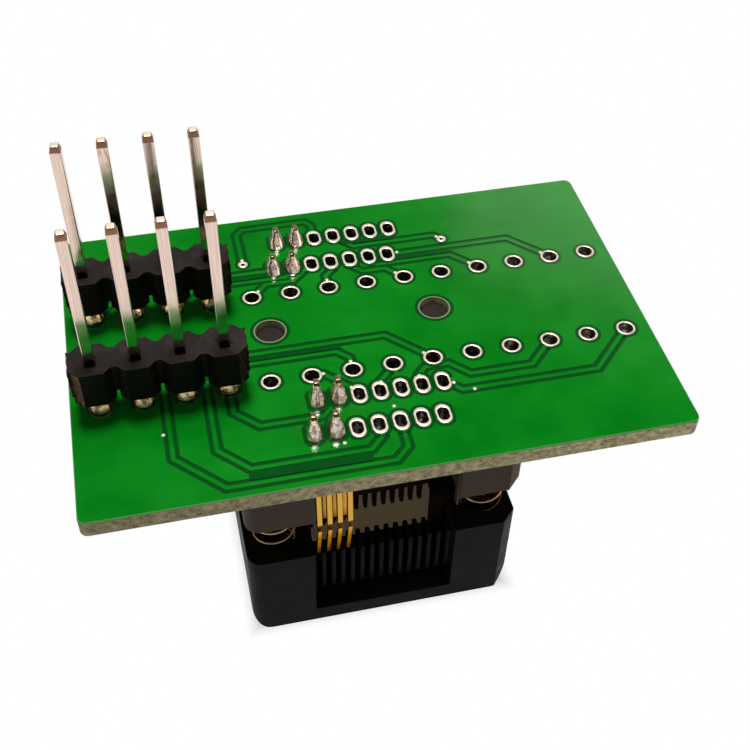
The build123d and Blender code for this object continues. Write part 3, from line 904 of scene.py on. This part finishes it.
class ADAPTER_OT_header_pins(bpy.types.Operator):
    """Dress the eight header pins: drawn wire with rounded corners and cropped tips"""

    bl_idname = "adapter.header_pins"
    bl_label = "Header Pins"

    def execute(self, context):
        tin = tinned_pin()
        for row in ROWS:
            for number in range(HEADER_POSITIONS):
                node = f"header_pin_{row}_{number + 1}"
                piece = cad_copy(node, f"drawn_pin_{row}_{number + 1}", 0.055 * MM, 3)
                low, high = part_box(node)
                middle = Vector(((low[0] + high[0]) / 2, (low[1] + high[1]) / 2, 0))
                self.blunt(piece, middle, high)
                if node in PIN_TURNS:
                    self.turn(piece, middle, PIN_TURNS[node])
                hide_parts(node)
                finish_piece(piece, "board", "pin_metal", tin)
                smooth(piece, 40, True)
        return {"FINISHED"}

    def blunt(self, piece, middle, high):
        """Shorten the tip's taper, so that the pin ends in a small flat with narrow facets."""
        half = high[0] - middle.x
        drawn, cropped = DRAWN_TAPER * MM, CROPPED_TAPER * MM
        for vertex in piece.data.vertices:
            share = (vertex.co.z - high[2]) / drawn + 1
            if share < -1:
                continue
            if share > 0:
                widen = (half - CROPPED_INSET * MM * share) / (half - DRAWN_INSET * MM * share)
                vertex.co.x = middle.x + (vertex.co.x - middle.x) * widen
                vertex.co.y = middle.y + (vertex.co.y - middle.y) * widen
                vertex.co.z = high[2] - cropped * (1 - share)
            else:
                vertex.co.z += drawn - cropped

    def turn(self, piece, middle, degrees):
        """Turn the free length of a pin that was pressed in a little askew."""
        strip_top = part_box("header_strip_front")[1][2]
        edit(piece, "EDGE")
        pick(piece, "edges", lambda e: e.calc_length() > 3 * MM)
        bpy.ops.mesh.subdivide(number_cuts=11)
        close()
        askew = Matrix.Rotation(math.radians(degrees), 3, "Z")
        for vertex in piece.data.vertices:
            if vertex.co.z > strip_top + 0.1 * MM:
                vertex.co = middle + askew @ (vertex.co - middle)


class ADAPTER_OT_header_solder(bpy.types.Operator):
    """Flow a solder dome round every header pin"""

    bl_idname = "adapter.header_solder"
    bl_label = "Header Solder"

    # Half width and height above the board, in millimetres
    PROFILE = (
        (0.66, 0.0), (0.71, 0.07), (0.715, 0.2), (0.67, 0.4), (0.58, 0.6), (0.47, 0.8), (0.4, 1.0),
        (0.36, 1.2),
    )

    def execute(self, context):
        solder = hand_solder("hand_soldered_pin_joint", "#f0d3a6", "#4f3a20", folded=0.85)
        rings = [(r, r, BOARD_TOP + h) for r, h in self.PROFILE]
        for row, first_seed in (("front", 1), ("back", 5)):
            places = [(*grid_place(row, number + 1), 0.7 * number) for number in range(HEADER_POSITIONS)]
            piece = solder_joints(f"pin_solder_{row}", 24, rings, places, first_seed, push=0.03, even=0.3)
            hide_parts(f"header_solder_{row}")
            finish_piece(piece, "board", "solder", solder)
        return {"FINISHED"}


class ADAPTER_OT_tail_solder(bpy.types.Operator):
    """Draw a solder cone up every contact tail"""

    bl_idname = "adapter.tail_solder"
    bl_label = "Contact Solder"

    # Half widths in X and Y and height above the board, in millimetres
    PROFILE = (
        (0.48, 0.75, 0.0), (0.51, 0.79, 0.06), (0.50, 0.74, 0.2), (0.47, 0.65, 0.4), (0.42, 0.54, 0.62),
        (0.355, 0.43, 0.84), (0.285, 0.33, 1.05), (0.235, 0.26, 1.25), (0.20, 0.225, 1.42),
        (0.12, 0.13, 1.5),
    )

    def execute(self, context):
        solder = hand_solder("hand_soldered_tail_joint", "#f2dfd0", "#5a4636", folded=0.6)
        for row, share, first_seed in (("front", 1.0, 11), ("back", BACK_TAIL_SHARE, 20)):
            rings = [(x, y, BOARD_TOP + h * share) for x, y, h in self.PROFILE]
            places = unturned(tail_place(row, number) for number in range(FITTED_CONTACTS))
            piece = solder_joints(f"tail_solder_{row}", 20, rings, places, first_seed, push=0.025, even=0.4)
            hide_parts(f"contact_solder_{row}")
            finish_piece(piece, "board", "solder", solder)
        return {"FINISHED"}


class ADAPTER_OT_solder_runs(bpy.types.Operator):
    """Add the little runs of solder at the track ends and the stray splashes"""

    bl_idname = "adapter.solder_runs"
    bl_label = "Solder Runs"

    # Half widths in X and Y and height above the board, in millimetres
    PROFILE = ((0.13, 0.10, 0.0), (0.13, 0.10, 0.02), (0.10, 0.075, 0.05), (0.05, 0.04, 0.065))
    # Stray splashes of solder, as X and Y in millimetres
    SPLASHES = ((-2.85, -9.25), (0.6, -7.05), (5.7, -6.7), (-13.0, -6.5))

    def execute(self, context):
        rings = [(x, y, BOARD_TOP + h) for x, y, h in self.PROFILE]
        source = stack_rings("solder_run", 14, rings, False)
        places = beside_pads(SOLDER_RUNS, 0.68, 0.40) + [(x, y, 0.5 * x) for x, y in self.SPLASHES]
        piece = join("solder_runs", copies(source, places))
        smooth(piece, 60)
        finish_piece(piece, "board", "solder", bpy.data.materials["hot_air_levelled_tin"])
        return {"FINISHED"}


class ADAPTER_OT_socket_base(bpy.types.Operator):
    """Dress the socket base with rounded moulded edges"""

    bl_idname = "adapter.socket_base"
    bl_label = "Socket Base"

    def execute(self, context):
        # dust=0.55 is painted shade: the faces that look up, the peg tops in their recesses, are painted
        # darker
        plastic = moulded_plastic(
            "moulded_base_plastic", context.scene.adapter_colours.base_plastic, grain=0.11,
            rough_low=0.5, rough_high=0.68, scuff="#54463d", dust=0.55, sheen=0.1)
        piece = cad_copy("socket_base", "moulded_base", context.scene.adapter_sizes.edge_wear * 0.7)
        smooth(piece, 35, True)
        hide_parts("socket_base")
        finish_piece(piece, "board", "socket_plastic", plastic)
        return {"FINISHED"}


class ADAPTER_OT_socket_cover(bpy.types.Operator):
    """Dress the floating cover with rounded moulded edges"""

    bl_idname = "adapter.socket_cover"
    bl_label = "Floating Cover"

    def execute(self, context):
        plastic = moulded_plastic(
            "moulded_cover_plastic", context.scene.adapter_colours.cover_plastic, grain=0.09,
            rough_low=0.42, rough_high=0.6, scuff="#1b1714", dust=1.0, sheen=0.035)
        piece = cad_copy("socket_cover", "moulded_cover", context.scene.adapter_sizes.edge_wear)
        smooth(piece, 35, True)
        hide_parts("socket_cover")
        finish_piece(piece, "cover", "socket_plastic", plastic)
        return {"FINISHED"}


class ADAPTER_OT_contacts(bpy.types.Operator):
    """Dress the eight contacts, each as a fixed stamping and a separate inner arm"""

    bl_idname = "adapter.contacts"
    bl_label = "Contacts"

    def execute(self, context):
        gold = gold_plate(context.scene.adapter_colours)
        for row, side in (("front", -1), ("back", 1)):
            for number in range(FITTED_CONTACTS):
                node = f"contact_{row}_{number + 1}"
                piece = cad_copy(node, f"contact_frame_{row}_{number + 1}", 0.035 * MM)
                arm = self.split_arm(piece, f"contact_arm_{row}_{number + 1}")
                if row == "back":
                    self.crop_tail(piece)
                for part in (piece, arm):
                    smooth(part, 35, True)
                    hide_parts(node)
                    finish_piece(part, "board", "contact_gold", gold)
                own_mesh(arm)
        return {"FINISHED"}

    def crop_tail(self, piece):
        """The back tails were cropped shorter: bring the end of the tail down."""
        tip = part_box("contact_back_1")[1][2]
        crop = (tip - BOARD_TOP * MM) * (1 - BACK_TAIL_SHARE)
        for vertex in piece.data.vertices:
            if vertex.co.z > tip - 0.5 * MM:
                vertex.co.z -= crop

    def split_arm(self, piece, name):
        """Cut the inner arm off below the foot, close both cut ends and return the arm."""
        cut = (BOARD_BOTTOM - ARM_DROP) * MM
        edit(piece, "FACE")
        bpy.ops.mesh.select_all(action="SELECT")
        bpy.ops.mesh.bisect(plane_co=(0, 0, cut), plane_no=(0, 0, 1))
        found = pick(piece, "faces", lambda f: f.calc_center_median().z < cut
                     and abs(f.calc_center_median().y / MM - SOCKET_Y) < FOOT_REACH)
        if not found:
            raise RuntimeError(f"{piece.name} has no inner arm")
        bpy.ops.mesh.separate(type="SELECTED")
        close()
        arm = [o for o in bpy.context.selected_objects if o is not piece][0]
        arm.name = name
        for part in (piece, arm):
            edit(part)
            bpy.ops.mesh.select_all(action="DESELECT")
            bpy.ops.mesh.select_non_manifold()
            bpy.ops.mesh.edge_face_add()
            close()
        return arm


class ADAPTER_OT_springs(bpy.types.Operator):
    """Wind the four cover springs from round wire with closed ends"""

    bl_idname = "adapter.springs"
    bl_label = "Cover Springs"

    def execute(self, context):
        steel = spring_wire()
        for row in ROWS:
            for end, start in (("left", -1), ("right", 1)):
                node = f"cover_spring_{row}_{end}"
                low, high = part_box(node)
                middle = ((low[0] + high[0]) / 2, (low[1] + high[1]) / 2)
                piece = self.wind(
                    f"wound_spring_{row}_{end}", middle, low[2], high[2], context.scene.adapter_sizes,
                    start)
                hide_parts(node)
                finish_piece(piece, "board", "spring_steel", steel)
                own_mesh(piece)
        return {"FINISHED"}

    def wind(self, name, middle, foot, top, sizes, start):
        """One coil between two heights, from the left (-1) or right (+1), its end turns laid close."""
        wire = sizes.spring_wire
        turns = sizes.spring_turns
        height = top - foot - wire
        even = height / turns
        piece = basic_form(
            name, bpy.ops.mesh.primitive_circle_add, vertices=10, radius=wire / 2,
            location=((sizes.spring_diameter - wire) / 2, 0, 0), rotation=(math.pi / 2, 0, 0))
        apply_modifier(
            piece, "SCREW", axis="Z", angle=2 * math.pi, screw_offset=even, iterations=turns, steps=28,
            render_steps=28, use_smooth_shade=True)
        # Turns laid close at each end
        closed = 0.9
        close_pitch = wire * 1.05
        open_pitch = (height - 2 * closed * close_pitch) / (turns - 2 * closed)
        centre = Vector((*middle, foot + wire / 2))
        for vertex in piece.data.vertices:
            angle = math.atan2(vertex.co.y, vertex.co.x) / (2 * math.pi)
            turn = angle + round(vertex.co.z / even - angle)
            if turn < closed:
                level = turn * close_pitch
            elif turn > turns - closed:
                level = height - (turns - turn) * close_pitch
            else:
                level = closed * close_pitch + (turn - closed) * open_pitch
            vertex.co.z += level - turn * even
            vertex.co.x *= start
            vertex.co.y *= start
            vertex.co += centre
        edit(piece)
        merge_points()
        bpy.ops.mesh.fill_holes(sides=0)
        face_outwards()
        smooth(piece, 50)
        return piece


def lay_floor():
    """A floor that fades to an even white away from the object and keeps its shadow close by."""
    leave_and_deselect()
    bpy.ops.mesh.primitive_plane_add(size=1.6, location=(0, 0, 0))
    piece = bpy.context.object
    piece.name = "floor"
    material = bpy.data.materials.new("white_paper_floor")
    material.use_nodes = True
    add = clear_tree(material.node_tree)
    place = add("TexCoord").outputs["Object"]
    grain = add("TexNoise", [place, per_mm(1.5), 3.0])
    paper = add("Mix", [grain, (0.62, 0.58, 0.5), (0.68, 0.63, 0.54)], data_type="RGBA")
    diffuse = add("BsdfDiffuse", [paper])
    # Paper shows within 7 mm of the socket's middle, and 1.15 mm more in Y, and white past 9.7 mm
    from_socket = add("VectorMath", [place, (SOCKET_X * MM, SOCKET_Y * MM, 0)], operation="SUBTRACT")
    aside = add("VectorMath", [from_socket], operation="ABSOLUTE")
    sides = add("SeparateXYZ", [aside])
    deeper = add("Math", [sides.outputs["Y"], 1.15 * MM], operation="SUBTRACT")
    away = add("Math", [sides.outputs["X"], deeper], operation="MAXIMUM")
    open_floor = add("MapRange", [away, 7.0 * MM, 9.7 * MM], interpolation_type="SMOOTHSTEP")
    path = add("LightPath").outputs
    seen = path["Is Camera Ray"]
    for ray in ("Is Glossy Ray", "Is Transmission Ray"):
        seen = add("Math", [seen, path[ray]], operation="MAXIMUM")
    share = add("Math", [seen, open_floor], operation="MULTIPLY")
    glow = add("Emission", ["#ffffff", 1.0])
    dim = add("Emission", ["#6e5e46", 0.3])
    shaded = add("AddShader", [diffuse, dim])
    mixed = add("MixShader", [share, shaded, glow])
    add("OutputMaterial", {"Surface": mixed})
    piece.data.materials.append(material)


def light_room():
    """Dim even light, a pale wall up to 36 degrees that shows in gloss, and white for the camera."""
    world = bpy.data.worlds.new("studio")
    world.use_nodes = True
    add = clear_tree(world.node_tree)
    path = add("LightPath").outputs
    way = add("TexCoord").outputs["Generated"]
    upward = add("SeparateXYZ", [way]).outputs["Z"]
    wall = add("MapRange", [upward, 0.565, 0.625, 0.6, 0.02], interpolation_type="SMOOTHSTEP")
    level = add("Mix", [path["Is Glossy Ray"], 0.2, wall])
    seen = add("Mix", [path["Is Camera Ray"], level, 1.0])
    background = add("Background", ["#ffffff", seen])
    add("OutputWorld", {"Surface": background})
    bpy.context.scene.world = world


def hang_lamp(name, place, size, power, code):
    """A square soft lamp that faces the object."""
    leave_and_deselect()
    bpy.ops.object.light_add(type="AREA", location=place)
    lamp = bpy.context.object
    lamp.name = name
    lamp.data.shape = "SQUARE"
    lamp.data.size = size
    lamp.data.energy = power
    lamp.data.color = linear(code)
    object_middle = Vector((0, 0, 0.014))
    aim = object_middle - Vector(place)
    lamp.rotation_euler = aim.to_track_quat("-Z", "Y").to_euler()


def set_camera():
    """The camera of the photograph, worked out from the grid of holes."""
    leave_and_deselect()
    eye = Vector((-11.465, -51.25, 69.085)) * MM
    ahead = Vector((0.16342, 0.66589, -0.72793)).normalized()
    level = ahead.cross(Vector((0, 0, 1))).normalized()
    upward = level.cross(ahead)
    roll = math.radians(1.417)
    right = level * math.cos(roll) + upward * math.sin(roll)
    above = right.cross(ahead)
    bpy.ops.object.camera_add(location=eye)
    camera = bpy.context.object
    camera.name = "camera"
    turn = Matrix((right, above, -ahead)).transposed()
    camera.matrix_world = Matrix.Translation(eye) @ turn.to_4x4()
    # The fit gave a focal length of 1155.5 pixels in a picture 750 pixels wide
    camera.data.sensor_width = 36.0
    camera.data.lens = 1155.5 * 36.0 / 750.0
    camera.data.clip_start = 0.002
    camera.data.clip_end = 5.0
    bpy.context.scene.camera = camera
    bpy.context.scene.view_settings.view_transform = "Standard"


class ADAPTER_OT_stage(bpy.types.Operator):
    """Set up the pale floor, the soft lights and the camera"""

    bl_idname = "adapter.stage"
    bl_label = "Stage"

    # Name, place and width in metres, power in watts and colour of each lamp
    LAMPS = (
        ("softbox_above", (0.0, 0.05, 0.357), 0.085, 1.22, "#ffffff"),
        ("glare_back_right", (0.16, 0.26, 0.2), 0.12, 0.05, "#fffaf2"),
        ("warm_fill_left", (-0.24, -0.06, 0.06), 0.12, 0.06, "#ffd9b8"),
        ("warm_fill_right", (0.24, -0.10, 0.07), 0.12, 0.06, "#ffd9b8"),
    )

    def execute(self, context):
        lay_floor()
        light_room()
        for lamp in self.LAMPS:
            hang_lamp(*lamp)
        set_camera()
        return {"FINISHED"}


STEPS = (
    ADAPTER_OT_board, ADAPTER_OT_plating, ADAPTER_OT_clearances, ADAPTER_OT_header_strips,
    ADAPTER_OT_header_pins, ADAPTER_OT_header_solder, ADAPTER_OT_tail_solder, ADAPTER_OT_solder_runs,
    ADAPTER_OT_socket_base, ADAPTER_OT_socket_cover, ADAPTER_OT_contacts, ADAPTER_OT_springs,
    ADAPTER_OT_stage,
)


class ADAPTER_PT_panel(bpy.types.Panel):
    """Lists the sizes, colours and steps of the adapter"""

    bl_idname = "ADAPTER_PT_panel"
    bl_label = "IC Socket Adapter"
    bl_space_type = "VIEW_3D"
    bl_region_type = "UI"
    bl_category = "Adapter"

    def draw(self, context):
        layout = self.layout
        for group in (context.scene.adapter_sizes, context.scene.adapter_colours):
            box = layout.box()
            for name in group.__annotations__:
                box.prop(group, name)
        for step in STEPS:
            layout.operator(step.bl_idname)


CLASSES = (AdapterSizes, AdapterColours, *STEPS, ADAPTER_PT_panel)


def register():
    for cls in CLASSES:
        bpy.utils.register_class(cls)
    bpy.types.Scene.adapter_sizes = PointerProperty(type=AdapterSizes)
    bpy.types.Scene.adapter_colours = PointerProperty(type=AdapterColours)


def unregister():
    del bpy.types.Scene.adapter_colours
    del bpy.types.Scene.adapter_sizes
    for cls in reversed(CLASSES):
        bpy.utils.unregister_class(cls)


def main():
    """Dress every piece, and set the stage."""
    register()
    bpy.ops.adapter.board()
    bpy.ops.adapter.plating()
    bpy.ops.adapter.clearances()
    bpy.ops.adapter.header_strips()
    bpy.ops.adapter.header_pins()
    bpy.ops.adapter.header_solder()
    bpy.ops.adapter.tail_solder()
    bpy.ops.adapter.solder_runs()
    bpy.ops.adapter.socket_base()
    bpy.ops.adapter.socket_cover()
    bpy.ops.adapter.contacts()
    bpy.ops.adapter.springs()
    bpy.ops.adapter.stage()
    leave_and_deselect()


if __name__ == "__main__":
    main()
